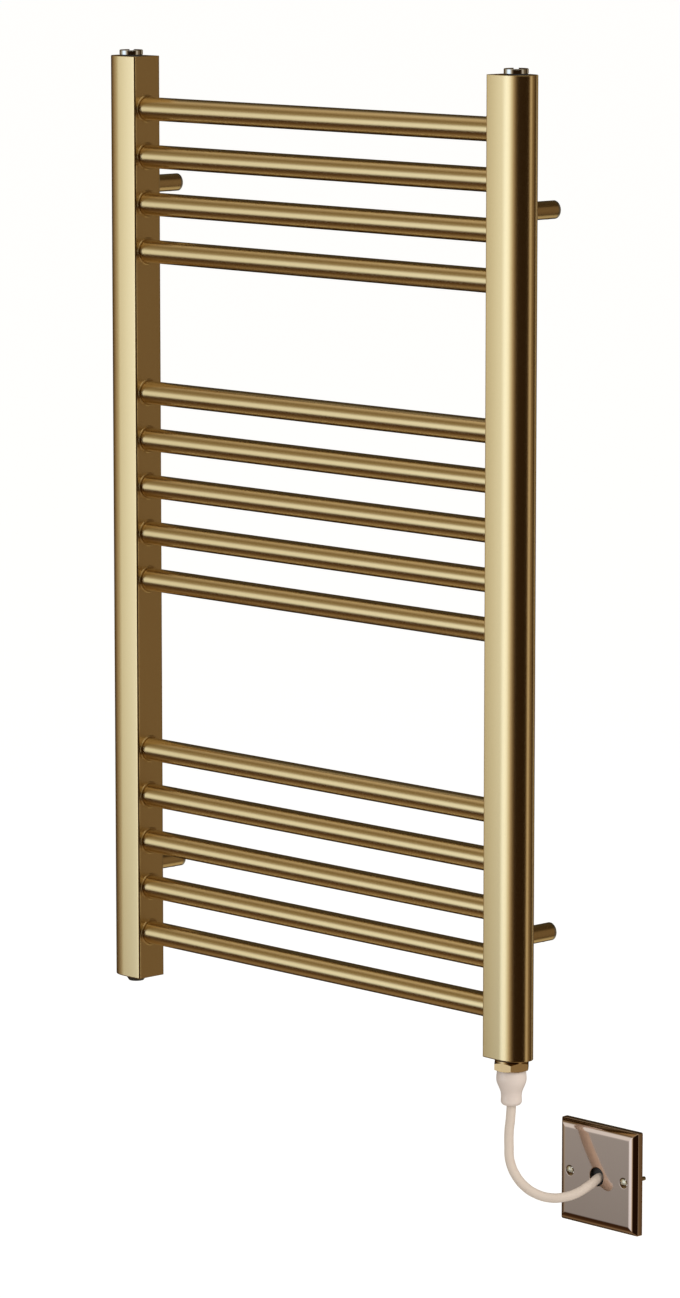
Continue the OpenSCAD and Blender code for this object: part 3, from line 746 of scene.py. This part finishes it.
def softened(node, width):
    """A copy of a CAD node with its sharp edges rounded, which then stands for the node."""
    source = frame["nodes"][node]
    bm = bmesh.new()
    bm.from_mesh(source.data)
    bmesh.ops.remove_doubles(bm, verts=bm.verts, dist=same_point)
    bmesh.ops.dissolve_limit(bm, angle_limit=same_plane, verts=bm.verts, edges=bm.edges)
    mesh = bpy.data.meshes.new(node + "_soft")
    bm.to_mesh(mesh)
    bm.free()
    if "custom_normal" in mesh.attributes:
        mesh.attributes.remove(mesh.attributes["custom_normal"])
    for face in mesh.polygons:
        face.use_smooth = True
    mesh.materials.clear()
    mesh.materials.append(source.data.materials[0])
    piece = bpy.data.objects.new(node + "_soft", mesh)
    scene.collection.objects.link(piece)
    edges = piece.modifiers.new("broken_edges", "BEVEL")
    edges.width = width
    edges.segments = 3
    edges.limit_method = "ANGLE"
    edges.angle_limit = sharp_edge
    flats = piece.modifiers.new("flat_flats", "WEIGHTED_NORMAL")
    flats.keep_sharp = False
    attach(piece, body_of[node])
    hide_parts(node)
    return piece


# Width of each rounding, in mm
soft_edges = {
    "element_body": 0.6,
    "plate_screws": 0.15,
    "blanking_plug": 0.35,
    "left_vent_body": 0.15,
    "right_vent_body": 0.15,
    "left_bleed_screw": 0.12,
    "right_bleed_screw": 0.12,
}
for end in ("upper", "lower"):
    for side in ("left", "right"):
        soft_edges[f"{end}_{side}_post_sleeve"] = 0.4
        soft_edges[f"{end}_{side}_wall_peg"] = 0.3
soft = {node: softened(node, width * MM) for node, width in soft_edges.items()}
print(len(soft), "nodes with rounded edges")

# %% [markdown]
# ## The carrier closes round the flex
#
# Behind the plate's hole a black moulding carries the terminals. Its own hole has room for the
# flex to be threaded, which would show as a bright crescent. On the real one soft lips close that
# gap, so the rim of the hole is drawn in to just clear the sheath.

# %% Draw the flex hole in
carrier_edge, rim_reach = 0.1 * MM, 0.1 * MM
carrier = softened("outlet_carrier", carrier_edge)
plate_low, plate_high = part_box("outlet_plate")
plate_mid = (plate_low + plate_high) / 2
hole_r, lips_r, hole_drop = 4.8 * MM, 4.1 * MM, 1.1 * MM
drawn = 0
for vertex in carrier.data.vertices:
    reach = Vector((vertex.co.x - plate_mid.x, 0, vertex.co.z - plate_mid.z + hole_drop))
    if abs(reach.length - hole_r) < rim_reach:
        vertex.co -= reach * (1 - lips_r / hole_r)
        drawn += 1
soft["outlet_carrier"] = carrier
print(drawn, "points drawn in")

# %% [markdown]
# ## The outlet plate
#
# A pressed nickel plate. Its bevel rolls softly into the face, and the roll is what shows a line
# of light along the top. A bevel on the CAD mesh would also eat into the hole and the
# countersinks, so the plate is drawn again: a profile is run round a square with rounded
# corners, and the face between is filled round its three holes.


# %% Press the plate
def square_ring(half, corner, steps=6):
    """Points round a square with rounded corners, in the wall plane."""
    points = []
    for quarter in range(4):
        for k in range(steps + 1):
            a = math.radians(90 * quarter + 90 * k / steps)
            cx = (half - corner) * (1 if quarter in (0, 3) else -1)
            cz = (half - corner) * (1 if quarter in (0, 1) else -1)
            points.append((cx + corner * math.cos(a), cz + corner * math.sin(a)))
    return points


def circle_ring(x, z, radius, steps=48):
    """Points round a circle in the wall plane."""
    turns = [2 * math.pi * k / steps for k in range(steps)]
    return [(x + radius * math.cos(a), z + radius * math.sin(a)) for a in turns]


screws_low, screws_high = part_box("plate_screws")
plate_half = (plate_high.x - plate_low.x) / 2
screw_head_r = 3.8 * MM
screw_x = (screws_high.x - screws_low.x) / 2 - screw_head_r
# From the back edge over the rim, up the bevel and onto the face: inset, height, corner radius
plate_roll = [
    (0, 0, 1.2),
    (0, 4.6, 1.2),
    (0.12, 5.1, 1.15),
    (0.4, 5.5, 1.0),
    (0.8, 5.93, 0.9),
    (2.4, 7.65, 0.6),
    (3.0, 8.13, 0.6),
    (3.7, 8.47, 0.6),
    (4.6, 8.72, 0.6),
    (5.6, 8.88, 0.6),
    (6.6, 8.97, 0.6),
    (7.3, 9.0, 0.6),
    (7.7, 9.0, 0.6),
]
flex_hole_r, screw_hole_r = 7.75, 4.15
face_holes = [
    (0, 0, flex_hole_r),
    (-screw_x / MM, 0, screw_hole_r),
    (screw_x / MM, 0, screw_hole_r),
]
wall_t, inner_corner = 1.5, 0.6
# The hollow back, and the lip of a hole from the face down: inset or growth, and height
back_hollow = [(0, 0), (0, 4.6), (4.4, 7.5), (6.9, 7.5)]
hole_lip = [(0.6, 9.0), (0.25, 9.0), (0.07, 8.93), (0, 8.75), (0, 7.5)]


def press(bm):
    """Skins the plate: bevelled outside, hollow back, and a face with three holes."""

    def ring(points, height):
        y = -height * MM
        return [bm.verts.new((plate_mid.x + x, y, plate_mid.z + z)) for x, z in points]

    def join(a, b):
        for k in range(len(a)):
            j = (k + 1) % len(a)
            bm.faces.new((a[k], a[j], b[j], b[k]))

    def edges(a):
        return [bm.edges.get((a[k], a[(k + 1) % len(a)])) for k in range(len(a))]

    outer = [
        ring(square_ring(plate_half - inset * MM, corner * MM), height)
        for inset, height, corner in plate_roll
    ]
    inner = [
        ring(square_ring(plate_half - (inset + wall_t) * MM, inner_corner * MM), height)
        for inset, height in back_hollow
    ]
    for a, b in zip(outer, outer[1:]):
        join(a, b)
    for a, b in zip(inner, inner[1:]):
        join(a, b)
    join(outer[0], inner[0])
    front, back = [outer[-1]], [inner[-1]]
    for x, z, radius in face_holes:
        lip = [
            ring(circle_ring(x * MM, z * MM, (radius + grow) * MM), height)
            for grow, height in hole_lip
        ]
        for a, b in zip(lip, lip[1:]):
            join(a, b)
        front.append(lip[0])
        back.append(lip[-1])
    for loops in (front, back):
        rim = [edge for loop in loops for edge in edges(loop)]
        bmesh.ops.triangle_fill(bm, edges=[e for e in rim if e], use_beauty=True)


plate = finished_mesh("outlet_plate_pressed", press, nickel)
plate.data.set_sharp_from_angle(angle=math.radians(50))
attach(plate, body_of["outlet_plate"])
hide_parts("outlet_plate")
print(f"plate {2000 * plate_half:.0f} mm square, {len(plate.data.polygons)} faces")

# %% [markdown]
# ## The element's head
#
# A moulded cover over the electric joints: a short drum, a waisted taper and a lipped end that
# holds the flex. It is round all over, so it is turned on the lathe from one profile. The profile
# passes through a few chosen radii and is rounded between them, as a mould's drawing would be.


# %% Turn the head
def rounded(profile, rounds, steps=5):
    """Replaces each inner corner of a (radius, z) profile by a small curve."""
    out = [profile[0]]
    for before, corner, after, r in zip(profile, profile[1:], profile[2:], rounds):
        b, c, a = Vector(before), Vector(corner), Vector(after)
        if r <= 0:
            out.append(corner)
            continue
        r = min(r, (b - c).length * 0.45, (a - c).length * 0.45)
        p = c + (b - c).normalized() * r
        q = c + (a - c).normalized() * r
        for k in range(steps + 1):
            t = k / steps
            out.append(tuple(p.lerp(c, t).lerp(c.lerp(q, t), t)))
    out.append(profile[-1])
    return out


def turned(name, profile, centre, material, sides=72):
    """A closed profile of (radius, z) pairs turned round a vertical axis."""

    def build(bm):
        turns = [2 * math.pi * k / sides for k in range(sides)]
        rings = [
            [(centre[0] + r * math.cos(a), centre[1] + r * math.sin(a), z) for a in turns]
            for r, z in profile
        ]
        bridge(bm, rings, closed=True)

    return finished_mesh(name, build, material)


# Radius and height under the head's top, in mm
head_profile = [
    (9.8, 0),
    (11.5, 0),
    (11.9, -0.8),
    (12.75, -9),
    (8.9, -18.2),
    (8.45, -21.5),
    (8.7, -27.4),
    (6.9, -29.5),
    (4.0, -29.5),
    (4.0, -27.0),
    (6.7, -26.0),
    (6.7, -20.0),
    (10.7, -10.0),
]
head_rounds = [0.3, 0.8, 3.5, 3.0, 2.5, 1.8, 1.0, 0.4, 0, 0, 0]
profile = [(r * MM, head_high.z + z * MM) for r, z in rounded(head_profile, head_rounds)]
head = turned("element_head_moulding", profile, (element_axis.x, element_axis.y), head_white)
head.data.set_sharp_from_angle(angle=math.radians(50))
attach(head, body_of["element_head"])
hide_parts("element_head")
print(f"head {1000 * (head_high.z - head_low.z):.1f} mm high, {len(head.data.polygons)} faces")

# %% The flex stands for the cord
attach(flex, body_of["cord"])
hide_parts("cord")

# %% [markdown]
# ## The studio
#
# Metal shows its surroundings, so the studio is part of the finish. One big soft lamp stands at
# the right, and a white backdrop runs under and behind the rail. The floor stays out of
# reflections, where the dome below takes its place.

# %% Backdrop and floor
world = bpy.data.worlds.new("studio")
scene.world = world
world.use_nodes = True
sky = Nodes(world.node_tree)


def seen(nodes):
    """1 where the camera, a reflection or a refraction looks, 0 for soft light."""
    path = nodes.add("LightPath")
    straight = nodes.value(path, "Is Camera Ray")
    return straight.over(nodes.value(path, "Is Glossy Ray")).over(
        nodes.value(path, "Is Transmission Ray")
    )


soft_sky, floor_lift = 0.75, 0.36
backdrop = sky.add("Background", Color=(1, 1, 1, 1), Strength=1.0)
room_light = sky.add("Background", Color=(1.0, 0.985, 0.96, 1), Strength=soft_sky)
both = sky.add("MixShader", Fac=seen(sky))
sky.tree.links.new(room_light.outputs[0], both.inputs[1])
sky.tree.links.new(backdrop.outputs[0], both.inputs[2])
sky.add("OutputWorld", Surface=both.outputs[0])

floor_finish = bpy.data.materials.new("pale_floor")
floor_finish.use_nodes = True
paint = Nodes(floor_finish.node_tree)
matt = paint.add("BsdfDiffuse", Color=(0.86, 0.86, 0.86, 1))
lift = paint.add("Emission", Color=(1, 1, 1, 1), Strength=seen(paint) * floor_lift)
total = paint.add("AddShader")
paint.tree.links.new(matt.outputs[0], total.inputs[0])
paint.tree.links.new(lift.outputs[0], total.inputs[1])
paint.add("OutputMaterial", Surface=total.outputs[0])

floor_z, floor_reach = -0.75, 80


def lay_floor(bm):
    """One square face under the rail."""
    corners = [(-1, -1), (1, -1), (1, 1), (-1, 1)]
    bm.faces.new(
        [bm.verts.new((x * floor_reach, y * floor_reach, floor_z)) for x, y in corners]
    )


floor = finished_mesh("floor", lay_floor, floor_finish, smooth=False)
floor.visible_glossy = False
floor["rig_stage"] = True
print(f"floor at {floor_z} m")

# %% Key lamp
centre = Vector((0, -0.05, -0.05))


def direction(azimuth, elevation):
    """Unit vector; azimuth 0 is the room, 90 the right-hand side."""
    a, e = math.radians(azimuth), math.radians(elevation)
    return Vector((math.sin(a) * math.cos(e), -math.cos(a) * math.cos(e), math.sin(e)))


def soft_lamp(name, azimuth, elevation, distance, width, height, radiance, tint):
    """A rectangular lamp facing the rail, which no reflection shows."""
    lamp = bpy.data.lights.new(name, "AREA")
    lamp.shape = "RECTANGLE"
    lamp.size = width
    lamp.size_y = height
    lamp.energy = radiance * math.pi * width * height
    lamp.color = tint
    obj = bpy.data.objects.new(name, lamp)
    scene.collection.objects.link(obj)
    way = direction(azimuth, elevation)
    obj.visible_glossy = False
    obj.location = centre + way * distance
    obj.rotation_euler = way.to_track_quat("Z", "Y").to_euler()
    return obj


key = soft_lamp(
    "key_lamp",
    azimuth=88,
    elevation=24,
    distance=2.6,
    width=1.8,
    height=1.8,
    radiance=2.9,
    tint=(1.0, 0.985, 0.96),
)
print(f"key lamp {key.data.energy:.0f} W")


# %% [markdown]
# ## The dome
#
# Cards of different browns would leave hard gaps between them, so they are painted on one dome
# round the rail. One gradient runs round the horizon and gives the uprights their bands. Another
# runs from the floor to the top and gives the bars theirs, and a third does so behind the rail,
# where it lights the posts and the back. The dome shows only in reflections, so the backdrop
# stays white and no lamp is shaded. These bands belong to this studio: the metals themselves are
# plain, and another room would show other bands on them.


# %% A gradient
def ramp(nodes, factor, stops, low, high):
    """A gradient over factor, with (place, colour) stops given between low and high."""
    node = nodes.add("ValToRGB", Fac=factor)
    band = node.color_ramp
    band.interpolation = "EASE"
    while len(band.elements) > 1:
        band.elements.remove(band.elements[-1])
    for k, (place, colour) in enumerate(stops):
        spot = (place - low) / (high - low)
        stop = band.elements[0] if k == 0 else band.elements.new(spot)
        stop.position = spot
        stop.color = (*colour, 1)
    return node.outputs[0]


print("gradients run between given stops")

# %% Round the horizon
# Degrees from the room, to the right, and the colour there
round_the_horizon = [
    (-180, (0.46, 0.37, 0.24)),
    (-162, (0.36, 0.29, 0.18)),
    (-142, (0.06, 0.035, 0.015)),
    (-125, (0.06, 0.033, 0.014)),
    (-98, (0.08, 0.047, 0.021)),
    (-84, (0.22, 0.15, 0.08)),
    (-70, (0.42, 0.34, 0.22)),
    (-58, (0.50, 0.45, 0.33)),
    (-50, (0.77, 0.76, 0.65)),
    (-42, (1.12, 1.21, 1.25)),
    (-29, (1.36, 1.52, 1.70)),
    (-17, (1.34, 1.46, 1.55)),
    (-5, (0.86, 0.80, 0.66)),
    (4, (0.42, 0.32, 0.20)),
    (13, (0.13, 0.08, 0.04)),
    (22, (0.022, 0.010, 0.004)),
    (84, (0.020, 0.009, 0.003)),
    (94, (0.10, 0.06, 0.028)),
    (101, (0.60, 0.49, 0.34)),
    (112, (0.60, 0.49, 0.34)),
    (122, (0.22, 0.155, 0.08)),
    (140, (0.16, 0.10, 0.05)),
    (150, (0.05, 0.03, 0.013)),
    (162, (0.05, 0.03, 0.013)),
    (174, (0.42, 0.34, 0.22)),
    (180, (0.46, 0.37, 0.24)),
]
shaded_side = [
    (-180, (0.2, 0.2, 0.2)),
    (-120, (0.2, 0.2, 0.2)),
    (-104, (0.5, 0.5, 0.5)),
    (-92, (1, 1, 1)),
    (180, (1, 1, 1)),
]
print(len(round_the_horizon), "stops round the horizon")

# %% From the floor to the top
# Degrees above the horizon, and the colour there
floor_to_top = [
    (-90, (0.32, 0.23, 0.13)),
    (-52, (0.32, 0.23, 0.13)),
    (-43, (0.27, 0.18, 0.09)),
    (-37, (0.11, 0.06, 0.025)),
    (-24, (0.06, 0.028, 0.010)),
    (24, (0.32, 0.26, 0.15)),
    (34, (0.20, 0.14, 0.065)),
    (39, (0.28, 0.21, 0.12)),
    (45, (0.66, 0.56, 0.40)),
    (60, (0.58, 0.49, 0.35)),
    (90, (0.50, 0.42, 0.30)),
]
behind_floor_to_top = [
    (-90, (0.34, 0.26, 0.15)),
    (-50, (0.50, 0.40, 0.23)),
    (-40, (0.46, 0.37, 0.22)),
    (-34, (0.03, 0.014, 0.005)),
    (-21, (0.03, 0.014, 0.005)),
    (-8, (0.20, 0.14, 0.075)),
    (22, (0.17, 0.11, 0.055)),
    (34, (0.05, 0.03, 0.012)),
    (90, (0.12, 0.09, 0.045)),
]
print(len(floor_to_top), "stops up the room,", len(behind_floor_to_top), "behind the rail")

# %% Where on the dome
paint_finish = bpy.data.materials.new("dome_paint")
paint_finish.use_nodes = True
coat = Nodes(paint_finish.node_tree)
spot = coat.add("SeparateXYZ", Vector=coat.add("TexCoord").outputs["Object"])
x, y, z = (coat.value(spot, axis) for axis in "XYZ")
azimuth = x.angle_from(y * -1.0)
flat = (x * x + y * y) ** 0.5
elevation = z.angle_from(flat)
turn = (azimuth + 180) * (1 / 360)
horizon = ramp(coat, turn, round_the_horizon, -180, 180)
rise = (elevation + 90) * (1 / 180)
heights = ramp(coat, rise, floor_to_top, -90, 90)
heights_behind = ramp(coat, rise, behind_floor_to_top, -90, 90)
shade = ramp(coat, turn, shaded_side, -180, 180)
print("gradients laid on the dome")

# %% [markdown]
# ## Belt, rear and card
#
# The horizon's colours fill a belt, which leans a little as it goes round. Above and below the
# belt the other gradients take over, and behind the rail the third one does. The wall plate is
# flat and mirrors a single spot of the dome, so one soft grey card hangs there and keeps its
# face a calm mid tone.


# %% Mix the dome
def eased(value, low, high):
    """0 below low and 1 above high, with a soft change between them."""
    node = coat.add("MapRange", {"interpolation_type": "SMOOTHSTEP"}, Value=value)
    node.inputs["From Min"].default_value = low
    node.inputs["From Max"].default_value = high
    return coat.value(node, "Result")


def mixed(factor, first, second, blend="MIX"):
    """The two colours mixed, or multiplied."""
    node = coat.add("Mix", {"data_type": "RGBA", "blend_type": blend})
    plug(coat.tree, node.inputs[0], factor)
    coat.tree.links.new(first, node.inputs[6])
    coat.tree.links.new(second, node.inputs[7])
    return node.outputs[2]


# All in degrees: where each change begins and where it has ended
belt_foot, belt_head = (-20, -12), (6, 24)
rear_right, rear_left = (116, 132), (150, 166)
card_edge = (2.5, 6)
lean_from, lean = -44, 0.12
card_azimuth, card_elevation, card_grey = -42, -14, 0.44

leaning = elevation + (azimuth - lean_from) * lean
belt = eased(leaning, *belt_foot) * (1 - eased(elevation, *belt_head))
behind = eased(azimuth, *rear_right) + eased(azimuth * -1.0, *rear_left)
away = mixed(behind, mixed(1.0, heights, shade, "MULTIPLY"), heights_behind)
painted = mixed(belt, away, horizon)
card_x, card_y = azimuth - card_azimuth, elevation - card_elevation
card_off = (card_x * card_x + card_y * card_y) ** 0.5
strength = 1 - (1 - eased(card_off, *card_edge)) * card_grey
glow = coat.add("Emission", Color=painted, Strength=strength)
coat.add("OutputMaterial", Surface=glow.outputs[0])
print("dome painted")


# %% Raise the dome
dome_r = 40


def shell(bm):
    """A ball round the whole studio."""
    bmesh.ops.create_icosphere(bm, subdivisions=5, radius=dome_r)


dome = finished_mesh("dome", shell, paint_finish, smooth=False)
dome.location = centre
dome.visible_camera = False
dome.visible_diffuse = False
dome.visible_shadow = False
dome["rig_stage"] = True
print(f"dome of {dome_r} m round the rail")

# %% [markdown]
# ## Size
#
# The dressed rail should keep the CAD model's size, so both are printed axis by axis.

# %% Measure
visual_box = [list(corner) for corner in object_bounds()]
for axis, cad_low, cad_high, low, high in zip("XYZ", *cad_box, *visual_box):
    print(f"{axis}: CAD {1000 * (cad_high - cad_low):.1f} mm, dressed {1000 * (high - low):.1f} mm")
